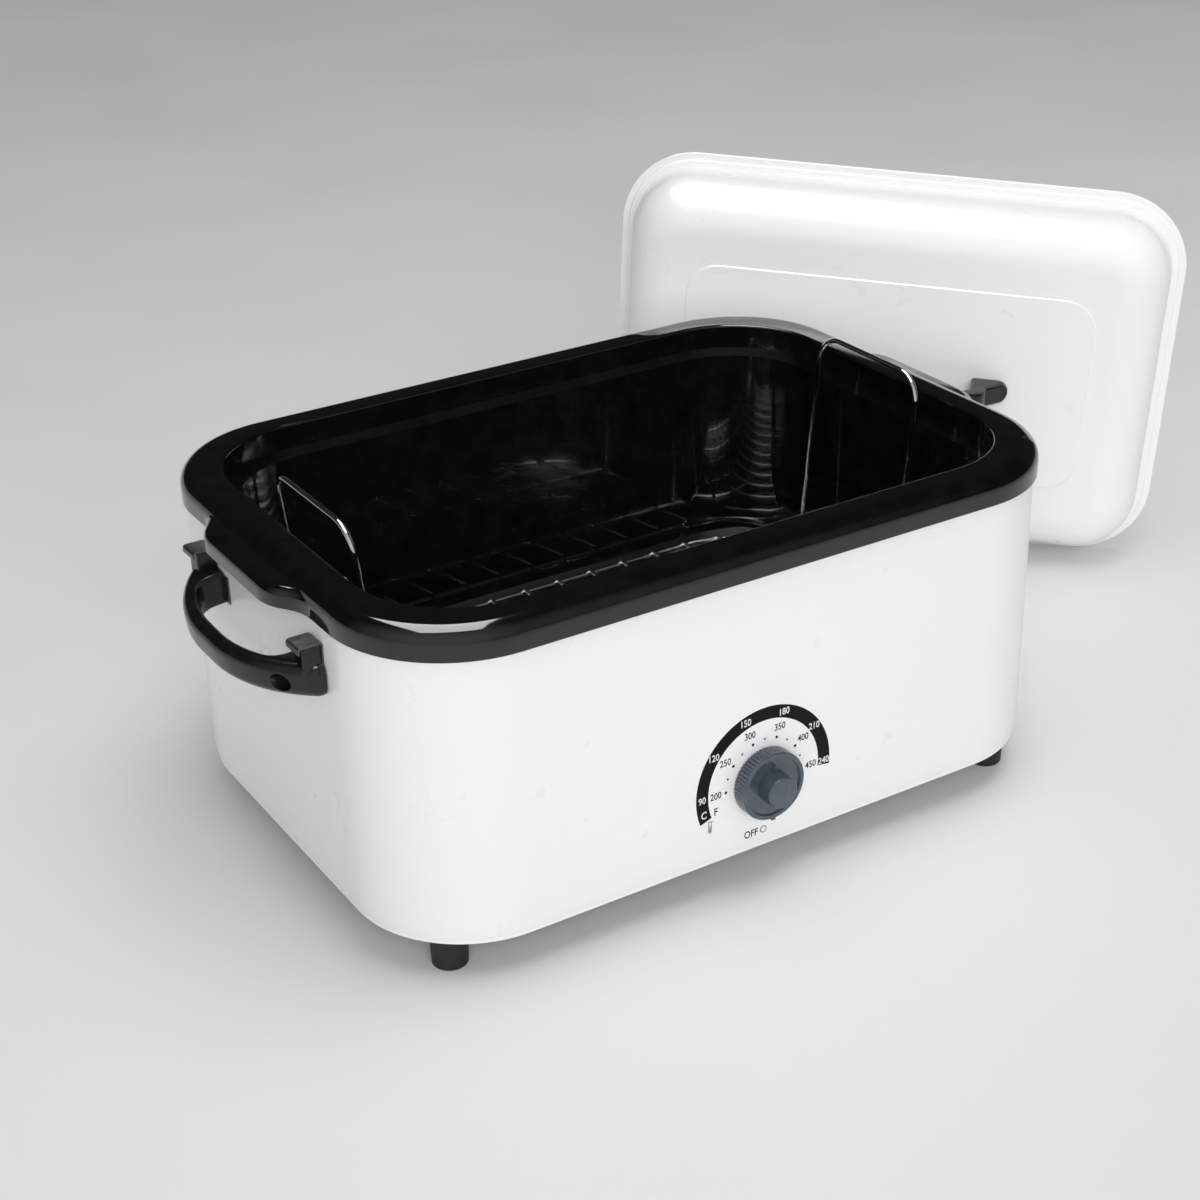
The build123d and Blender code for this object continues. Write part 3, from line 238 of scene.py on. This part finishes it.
def slate_plastic():
    """The knob's glossy slate-blue plastic, smoky in its depth."""
    finish = Finish(
        "slate_plastic", (0.045, 0.062, 0.08), 0.16, Coat_Weight=0.6, Coat_Roughness=0.05
    )
    finish.shaded(finish.noise(130.0, 4.0), (0.036, 0.052, 0.07), (0.06, 0.08, 0.1))
    finish.rough(finish.noise(70.0, 4.0), 0.12, 0.24)
    finish.relief(finish.noise(700.0, 2.0), 0.00001, 0.5)
    return finish.material


def satin_steel(name, tone, low, high):
    """Rolled steel with fine level grain lines, and a roughness from low to high."""
    grain = (1.0, 1.0, 14.0)
    light = tone * 1.12
    finish = Finish(name, grey(tone), low, metallic=1.0)
    finish.shaded(
        finish.noise(260.0, 4.0, stretch=grain), grey(tone * 0.82), (light, light, light * 1.01)
    )
    finish.rough(finish.noise(180.0, 3.0, stretch=grain), low, high)
    finish.relief(finish.noise(700.0, 3.0, stretch=grain), 0.00002, 0.4)
    return finish.material


def chrome_wire():
    """Bright plated wire, a little uneven."""
    finish = Finish("chrome_wire", (0.72, 0.73, 0.75), 0.08, metallic=1.0)
    finish.shaded(finish.noise(90.0, 4.0), (0.66, 0.67, 0.69), (0.78, 0.79, 0.81))
    finish.rough(finish.noise(160.0, 3.0), 0.05, 0.14)
    finish.relief(finish.noise(600.0, 2.0), 0.00002, 0.3)
    return finish.material


def galvanised_steel():
    """Zinc-coated sheet with its spangle."""
    finish = Finish("galvanised_steel", (0.5, 0.51, 0.52), 0.35, metallic=1.0)
    spangle = finish.cells(90.0, output="Color")
    finish.shaded(spangle, (0.4, 0.41, 0.42), (0.58, 0.59, 0.6), 0.0, 1.0)
    finish.rough(finish.noise(110.0, 4.0), 0.28, 0.5)
    finish.relief(finish.cells(90.0), 0.00004, 0.2)
    return finish.material


def heater_jacket():
    """The heater band: a dark steel jacket tinted by heat."""
    finish = Finish("heater_jacket", (0.3, 0.27, 0.24), 0.4, metallic=1.0)
    finish.shaded(finish.noise(14.0, 5.0), (0.2, 0.17, 0.15), (0.36, 0.31, 0.25))
    finish.rough(finish.noise(60.0, 4.0), 0.32, 0.55)
    finish.relief(finish.noise(300.0, 3.0, stretch=(1, 1, 8)), 0.00004, 0.4)
    return finish.material


def glass_fibre():
    """Matted yellowish fibre blanket."""
    finish = Finish("glass_fibre", (0.74, 0.66, 0.4), 0.95, Sheen_Weight=0.5)
    fibres = finish.noise(160.0, 8.0, 2.5, stretch=(1, 1, 5))
    finish.shaded(fibres, (0.6, 0.5, 0.26), (0.82, 0.75, 0.52))
    finish.rough(finish.noise(90.0, 4.0), 0.85, 1.0)
    finish.relief(finish.noise(260.0, 8.0, 3.0, stretch=(1, 1, 4)), 0.001, 0.9)
    return finish.material


def cream_phenolic():
    """Moulded cream insulator, dull and a little mottled."""
    finish = Finish("cream_phenolic", (0.5, 0.42, 0.3), 0.5)
    finish.shaded(finish.noise(120.0, 5.0), (0.42, 0.34, 0.23), (0.56, 0.48, 0.35))
    finish.rough(finish.noise(80.0, 4.0), 0.42, 0.6)
    finish.relief(finish.noise(800.0, 3.0), 0.00003, 0.5)
    return finish.material


def print_ink(name, tone):
    """Screen-printed ink: a thin satin film, a little uneven."""
    finish = Finish(name, grey(tone), 0.45, Specular_IOR_Level=0.12)
    finish.shaded(finish.noise(300.0, 3.0), grey(tone * 0.85), grey(tone * 1.1))
    finish.rough(finish.noise(500.0, 3.0), 0.38, 0.52)
    finish.relief(finish.noise(1500.0, 2.0), 0.00001, 0.4)
    return finish.material


# --------------------------------------------------------------- mesh helpers


def clear_selection():
    if bpy.context.object and bpy.context.object.mode != "OBJECT":
        bpy.ops.object.mode_set(mode="OBJECT")
    bpy.ops.object.select_all(action="DESELECT")


def only(*pieces):
    """Selects the pieces and no others, and makes the first one active."""
    clear_selection()
    for piece in pieces:
        piece.select_set(True)
    bpy.context.view_layer.objects.active = pieces[0]


def named(name):
    """Names the object that an operator has just made."""
    piece = bpy.context.object
    piece.name = name
    piece.data.name = name
    return piece


def joined(name, pieces):
    """Joins the pieces into one of that name."""
    only(*pieces)
    bpy.ops.object.join()
    return named(name)


def settled(piece, body, material):
    """Applies the piece's place, gives it its finish and lets it ride on its body."""
    only(piece)
    bpy.ops.object.transform_apply(location=True, rotation=True, scale=True)
    piece.data.materials.clear()
    piece.data.materials.append(material)
    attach(piece, body)


def dressed(material, *names, crease=32.0):
    """Gives CAD nodes a finish and smooth curved faces, with their sharp edges kept."""
    for name in names:
        node = NODES[name]
        node.data.materials.clear()
        node.data.materials.append(material)
        for face in node.data.polygons:
            face.use_smooth = True
        weld = node.modifiers.new("weld", "WELD")
        weld.merge_threshold = 0.000002
        split = node.modifiers.new("creases", "EDGE_SPLIT")
        split.split_angle = math.radians(crease)
        split.use_edge_sharp = False


def written(text, height, centre):
    """Upright lettering on the front wall, centred at (x, z) from the dial's axis."""
    clear_selection()
    bpy.ops.object.text_add(location=(0, 0, 0))
    label = bpy.context.object
    label.data.body = text
    label.data.size = height / CAPITAL_SHARE
    label.data.align_x = "CENTER"
    label.data.align_y = "CENTER"
    label.data.offset = STROKE_SHARE * height
    label.data.extrude = bpy.context.scene.roaster_dial.ink_film / 2
    label.data.resolution_u = LETTER_STEPS
    bpy.ops.object.convert(target="MESH")
    label = bpy.context.object
    middle = sum((Vector(corner) for corner in label.bound_box), Vector()) / 8
    for vertex in label.data.vertices:
        vertex.co -= middle
    label.scale = (LETTER_SQUEEZE, 1, 1)
    label.rotation_euler = (math.radians(90), 0, 0)
    label.location = on_wall(*centre)
    bpy.ops.object.transform_apply(location=True, rotation=True, scale=True)
    return label


def on_wall(across, up, proud=0.5):
    """A point of the front wall, from the dial's axis, proud of it by a share of the film."""
    film = bpy.context.scene.roaster_dial.ink_film
    return Vector((DIAL.x + across, FRONT_WALL - proud * film, DIAL.z + up))


def around(radius, degrees):
    """Across and up of a point round the dial, anticlockwise from its right."""
    turn = math.radians(degrees)
    return radius * math.cos(turn), radius * math.sin(turn)


def printed_arc(name, inner, outer, start, end):
    """A sweep of a flat ring printed on the front wall: a strip spun round the dial's axis."""
    film = bpy.context.scene.roaster_dial.ink_film
    clear_selection()
    bpy.ops.mesh.primitive_plane_add(size=1, location=(0, 0, 0))
    strip = named(name)
    strip.scale = (outer - inner, film, 1)
    strip.location = on_wall((inner + outer) / 2, 0)
    bpy.ops.object.transform_apply(location=True, rotation=True, scale=True)
    turn = Matrix.Rotation(-math.radians(start), 4, "Y")
    for vertex in strip.data.vertices:
        vertex.co = turn @ (vertex.co - DIAL) + DIAL
    bpy.ops.object.mode_set(mode="EDIT")
    bpy.ops.mesh.select_all(action="SELECT")
    bpy.ops.mesh.spin(
        steps=BAND_STEPS, angle=math.radians(end - start), center=DIAL, axis=(0, 1, 0), dupli=False
    )
    bpy.ops.mesh.select_all(action="SELECT")
    bpy.ops.mesh.remove_doubles(threshold=0.000001)
    bpy.ops.mesh.normals_make_consistent(inside=False)
    bpy.ops.object.mode_set(mode="OBJECT")
    return strip


# ----------------------------------------------------------------- properties


def length(name, description, default):
    return FloatProperty(name=name, description=description, default=default, unit="LENGTH")


def power(name, description, default):
    return FloatProperty(name=name, description=description, default=default, unit="POWER")


class RoasterDial(bpy.types.PropertyGroup):
    """Sizes of the print round the knob."""

    ink_film: length("Ink film", "Thickness of the ink", 0.00006)
    band_inner: length("Band inner radius", "Inner edge of the Celsius band", 0.047)
    band_outer: length("Band outer radius", "Outer edge of the Celsius band", 0.057)
    scale_start: FloatProperty(
        name="Scale start", description="Angle of the lowest mark", default=180.0
    )
    scale_step: FloatProperty(
        name="Scale step", description="Angle from one number to the next", default=36.4
    )
    figure_height: length("Figure height", "Height of the figures", 0.0052)
    inner_figures: length("Inner figures", "Radius of the Fahrenheit figures", 0.0405)
    dots: length("Dots", "Radius of the row of dots", 0.0322)


class RoasterStage(bpy.types.PropertyGroup):
    """Floor and lamps."""

    floor_tone: FloatVectorProperty(
        name="Floor", description="Colour of the floor", default=(0.8, 0.8, 0.8), subtype="COLOR"
    )
    key_power: power("Key power", "Large front lamp", 338.0)
    side_power: power("Side power", "Right fill lamp", 1.5)
    top_power: power("Top power", "Overhead lamp", 18.0)
    gloss_power: power("Gloss power", "Lamp seen in gloss", 60.0)
    sky: FloatProperty(name="Sky", description="Strength of the soft surround", default=0.38)


# ------------------------------------------------------------------ operators


class ROASTER_OT_housing(bpy.types.Operator):
    """Finish the housing, the lid, the liner, the base, its screws and its feet"""

    bl_idname = "roaster.housing"
    bl_label = "Housing"

    def execute(self, context):
        dressed(white_enamel(), "outer_housing", "lid_shell")
        sheets = ("base_plate", "inner_well", "well_panel", "element_clips", "thermostat_probe")
        dressed(galvanised_steel(), *sheets)
        screws = ("base_screws", "foot_screws", "handle_nuts")
        dressed(satin_steel("zinc_screws", 0.55, 0.25, 0.4), *screws)
        feet = ("foot_front_left", "foot_front_right", "foot_rear_left", "foot_rear_right")
        dressed(foot_rubber(), *feet)
        return {"FINISHED"}


class ROASTER_OT_dial_print(bpy.types.Operator):
    """Print the temperature scale round the knob"""

    bl_idname = "roaster.dial_print"
    bl_label = "Dial print"

    def execute(self, context):
        dial = context.scene.roaster_dial
        black = print_ink("black_ink", 0.006)
        white = print_ink("white_ink", 0.8)
        middle = (dial.band_inner + dial.band_outer) / 2
        band = printed_arc("dial_band", dial.band_inner, dial.band_outer, BAND_START, BAND_END)
        settled(band, "base", black)

        celsius = self.numbers(dial, CELSIUS, middle)
        celsius.append(written("C", dial.figure_height * 1.1, around(middle, CELSIUS_SIGN_TURN)))
        figures = joined("dial_celsius", celsius)
        # the white figures lie on the black band, not in it
        for vertex in figures.data.vertices:
            vertex.co.y -= dial.ink_film
        settled(figures, "base", white)

        inner = self.numbers(dial, FAHRENHEIT, dial.inner_figures)
        inner.append(written("F", dial.figure_height * 1.15, FAHRENHEIT_SIGN))
        inner.append(written("OFF", dial.figure_height * 1.1, OFF_SIGN))
        for i in range(2 * len(FAHRENHEIT) - 1):
            size = NUMBER_DOT if i % 2 == 0 else HALFWAY_DOT
            inner.append(self.dot(size, around(dial.dots, self.mark(dial, i / 2))))
        inner.append(self.ring(OFF_RING_INNER, OFF_RING_OUTER, OFF_RING))
        inner.extend(self.thermometer(THERMOMETER_SIGN))
        settled(joined("dial_fahrenheit", inner), "base", black)
        return {"FINISHED"}

    def numbers(self, dial, values, radius):
        """The figures of one scale, each at its mark."""
        return [
            written(str(value), dial.figure_height, around(radius, self.mark(dial, i)))
            for i, value in enumerate(values)
        ]

    def mark(self, dial, index):
        """The turn of a scale's mark, counted from its lowest."""
        return dial.scale_start - dial.scale_step * index

    def dot(self, radius, centre):
        """A printed dot: a disc as thick as the film."""
        clear_selection()
        bpy.ops.mesh.primitive_cylinder_add(
            vertices=20,
            radius=radius,
            depth=bpy.context.scene.roaster_dial.ink_film,
            location=on_wall(*centre),
            rotation=(math.radians(90), 0, 0),
        )
        return named("dot")

    def ring(self, inner, outer, centre):
        """A printed ring with an open middle."""
        clear_selection()
        place = on_wall(*centre, proud=0.0)
        bpy.ops.mesh.primitive_circle_add(
            vertices=40, radius=outer, location=place, rotation=(math.radians(90), 0, 0)
        )
        ring = named("ring")
        bpy.ops.object.mode_set(mode="EDIT")
        bpy.ops.mesh.extrude_edges_move()
        bpy.ops.transform.resize(value=[inner / outer] * 3, center_override=ring.location)
        bpy.ops.object.mode_set(mode="OBJECT")
        thick = ring.modifiers.new("film", "SOLIDIFY")
        thick.thickness = bpy.context.scene.roaster_dial.ink_film
        thick.offset = -1.0
        bpy.ops.object.modifier_apply(modifier=thick.name)
        return ring

    def thermometer(self, centre):
        """A small thermometer sign: an outlined tube, its bulb and a degree tick."""
        across, up = centre
        bulb = (across, up - 0.0022)
        parts = [self.ring(0.0012, 0.0017, bulb), self.dot(0.0007, bulb)]
        film = bpy.context.scene.roaster_dial.ink_film
        line = 0.0005
        wall, wall_height = 0.00105, 0.0066
        for shift, rise, width, height in (
            (-wall, 0.0022, line, wall_height),
            (wall, 0.0022, line, wall_height),
            (0.0, 0.0055, 0.0026, line),  # the tube's top
            (0.0, 0.0006, line, 0.0042),  # the column inside
            (0.0024, 0.0052, 0.0012, line),  # the degree tick
        ):
            clear_selection()
            bpy.ops.mesh.primitive_cube_add(size=1, location=on_wall(across + shift, up + rise))
            bar = named("bar")
            bar.scale = (width, film, height)
            parts.append(bar)
        return parts


class ROASTER_OT_knob(bpy.types.Operator):
    """Finish the knob, its shaft and clip"""

    bl_idname = "roaster.knob"
    bl_label = "Knob"

    def execute(self, context):
        dressed(slate_plastic(), "temperature_knob", crease=28.0)
        fittings = ("thermostat_shaft", "knob_clip", "thermostat_nut")
        dressed(satin_steel("shaft_steel", 0.6, 0.2, 0.32), *fittings)
        return {"FINISHED"}


class ROASTER_OT_pan(bpy.types.Operator):
    """Finish the enamelled pan"""

    bl_idname = "roaster.pan"
    bl_label = "Pan"

    def execute(self, context):
        dressed(black_enamel(), "cooking_pan", "pan_floor")
        return {"FINISHED"}


class ROASTER_OT_rack(bpy.types.Operator):
    """Finish the chrome rack and its bails"""

    bl_idname = "roaster.rack"
    bl_label = "Rack"

    def execute(self, context):
        dressed(chrome_wire(), "roasting_rack", "rack_bail_left", "rack_bail_right", crease=60.0)
        return {"FINISHED"}


class ROASTER_OT_handles(bpy.types.Operator):
    """Finish the handles, brackets and screws"""

    bl_idname = "roaster.handles"
    bl_label = "Handles"

    def execute(self, context):
        dressed(black_phenolic(), "left_handle", "right_handle", "lid_handle", "cord_gland")
        brackets = [name for name in NODES if name.startswith("handle_bracket")]
        dressed(satin_steel("bracket_steel", 0.16, 0.3, 0.45), *brackets)
        dressed(satin_steel("handle_screw_steel", 0.3, 0.25, 0.4), "handle_screws")
        lid_steel = satin_steel("lid_screw_steel", 0.6, 0.2, 0.35)
        dressed(lid_steel, "lid_handle_screws", "lid_handle_washers")
        return {"FINISHED"}


class ROASTER_OT_heater(bpy.types.Operator):
    """Finish what is sealed inside: heater, blanket, thermostat and terminals"""

    bl_idname = "roaster.heater"
    bl_label = "Heater"

    def execute(self, context):
        dressed(heater_jacket(), "heating_element")
        dressed(glass_fibre(), "insulation_wrap")
        dressed(cream_phenolic(), "thermostat_body", "terminal_block")
        return {"FINISHED"}


class ROASTER_OT_stage(bpy.types.Operator):
    """Set up the camera, the floor and the lamps"""

    bl_idname = "roaster.stage"
    bl_label = "Stage"

    def execute(self, context):
        self.camera(context)
        self.floor(context)
        self.surround(context)
        stage = context.scene.roaster_stage
        self.lamp("key_lamp", stage.key_power, (-3.1, -6.4, 3.3), (5.6, 4.6))
        self.lamp("side_lamp", stage.side_power, (2.4, -1.6, 1.2), (1.8, 1.8))
        self.lamp("top_lamp", stage.top_power, (0.35, -0.35, 2.2), (1.9, 1.0))
        self.lamp("gloss_lamp", stage.gloss_power, (-0.25, 0.15, 2.2), (2.0, 1.3), mirrored=True)
        context.scene.view_settings.view_transform = "Standard"
        return {"FINISHED"}

    def camera(self, context):
        """The camera stands left of the front and looks down on the oven."""
        data = bpy.data.cameras.new("camera")
        data.sensor_width = CAMERA_SENSOR
        data.lens = CAMERA_LENS
        camera = bpy.data.objects.new("camera", data)
        camera.matrix_world = (
            Matrix.Translation(CAMERA_TARGET)
            @ Matrix.Rotation(math.radians(CAMERA_AZIMUTH), 4, "Z")
            @ Matrix.Rotation(math.radians(90.0 - CAMERA_ELEVATION), 4, "X")
            @ Matrix.Rotation(math.radians(CAMERA_ROLL), 4, "Z")
            @ Matrix.Translation((0.0, 0.0, CAMERA_DISTANCE))
        )
        context.scene.collection.objects.link(camera)
        context.scene.camera = camera

    def floor(self, context):
        """A pale floor with painted shade that grows darker towards the back right."""
        tone = tuple(context.scene.roaster_stage.floor_tone)
        clear_selection()
        bpy.ops.mesh.primitive_plane_add(size=FLOOR_SIZE, location=(0, 0, FLOOR))
        floor = named("floor")
        bpy.ops.object.transform_apply(location=True, rotation=True, scale=True)
        finish = Finish("pale_floor", tone, 0.7)
        ramp = finish.nodes.new("ShaderNodeSeparateXYZ")
        turned = finish.placed(turn=(0, 0, math.radians(RAMP_TURN)))
        finish.links.new(turned, ramp.inputs["Vector"])
        # painted shade: the floor's tone is halved along the ramp towards the back right
        darker = tuple(value * RAMP_SHADE for value in tone)
        finish.shaded(ramp.outputs["X"], tone, darker, RAMP_START, RAMP_END)
        finish.rough(finish.noise(3.0), 0.6, 0.8)
        floor.data.materials.append(finish.material)

    def surround(self, context):
        """A soft even surround; gloss mirrors one that is dark at the back, light in front."""
        world = bpy.data.worlds.new("surround")
        world.use_nodes = True
        context.scene.world = world
        nodes, links = world.node_tree.nodes, world.node_tree.links
        nodes["Background"].inputs["Color"].default_value = (1.0, 1.0, 1.0, 1.0)
        frontal = nodes.new("ShaderNodeVectorMath")
        frontal.operation = "DOT_PRODUCT"
        frontal.inputs[1].default_value = BRIGHT_SIDE
        links.new(nodes.new("ShaderNodeTexCoord").outputs["Generated"], frontal.inputs[0])
        mirrored = nodes.new("ShaderNodeMapRange")
        mirrored.inputs["From Min"].default_value = BRIGHT_FROM
        mirrored.inputs["From Max"].default_value = BRIGHT_TO
        mirrored.inputs["To Min"].default_value = MIRRORED_DARKEST
        mirrored.inputs["To Max"].default_value = MIRRORED_BRIGHTEST
        links.new(frontal.outputs["Value"], mirrored.inputs["Value"])
        path = nodes.new("ShaderNodeLightPath")
        strength = nodes.new("ShaderNodeMapRange")
        strength.inputs["To Min"].default_value = context.scene.roaster_stage.sky
        links.new(mirrored.outputs["Result"], strength.inputs["To Max"])
        links.new(path.outputs["Is Glossy Ray"], strength.inputs["Value"])
        links.new(strength.outputs["Result"], nodes["Background"].inputs["Strength"])

    def lamp(self, name, power, place, size, mirrored=False):
        """A soft lamp: a mirrored one makes highlights on gloss, any other only lights."""
        data = bpy.data.lights.new(name, "AREA")
        data.shape = "RECTANGLE"
        data.size, data.size_y = size
        data.energy = power
        lamp = bpy.data.objects.new(name, data)
        lamp.location = place
        lamp.rotation_euler = (LAMP_AIM - Vector(place)).to_track_quat("-Z", "Y").to_euler()
        lamp.visible_glossy = mirrored
        lamp.visible_diffuse = not mirrored
        bpy.context.scene.collection.objects.link(lamp)


class ROASTER_PT_panel(bpy.types.Panel):
    """Sizes of the print, the lamps and the steps that make the oven"""

    bl_label = "Roaster Oven"
    bl_idname = "ROASTER_PT_panel"
    bl_space_type = "VIEW_3D"
    bl_region_type = "UI"
    bl_category = "Roaster"

    def draw(self, context):
        layout = self.layout
        for group in (context.scene.roaster_dial, context.scene.roaster_stage):
            for name in group.__annotations__:
                layout.prop(group, name)
        for step in STEPS:
            layout.operator(step.bl_idname)


STEPS = (
    ROASTER_OT_stage,
    ROASTER_OT_housing,
    ROASTER_OT_dial_print,
    ROASTER_OT_knob,
    ROASTER_OT_pan,
    ROASTER_OT_rack,
    ROASTER_OT_handles,
    ROASTER_OT_heater,
)
CLASSES = (RoasterDial, RoasterStage, *STEPS, ROASTER_PT_panel)


def register():
    for item in CLASSES:
        bpy.utils.register_class(item)
    bpy.types.Scene.roaster_dial = PointerProperty(type=RoasterDial)
    bpy.types.Scene.roaster_stage = PointerProperty(type=RoasterStage)


def unregister():
    del bpy.types.Scene.roaster_stage
    del bpy.types.Scene.roaster_dial
    for item in reversed(CLASSES):
        bpy.utils.unregister_class(item)


def main():
    register()
    for step in STEPS:
        group, name = step.bl_idname.split(".")
        getattr(getattr(bpy.ops, group), name)()


if __name__ == "__main__":
    main()
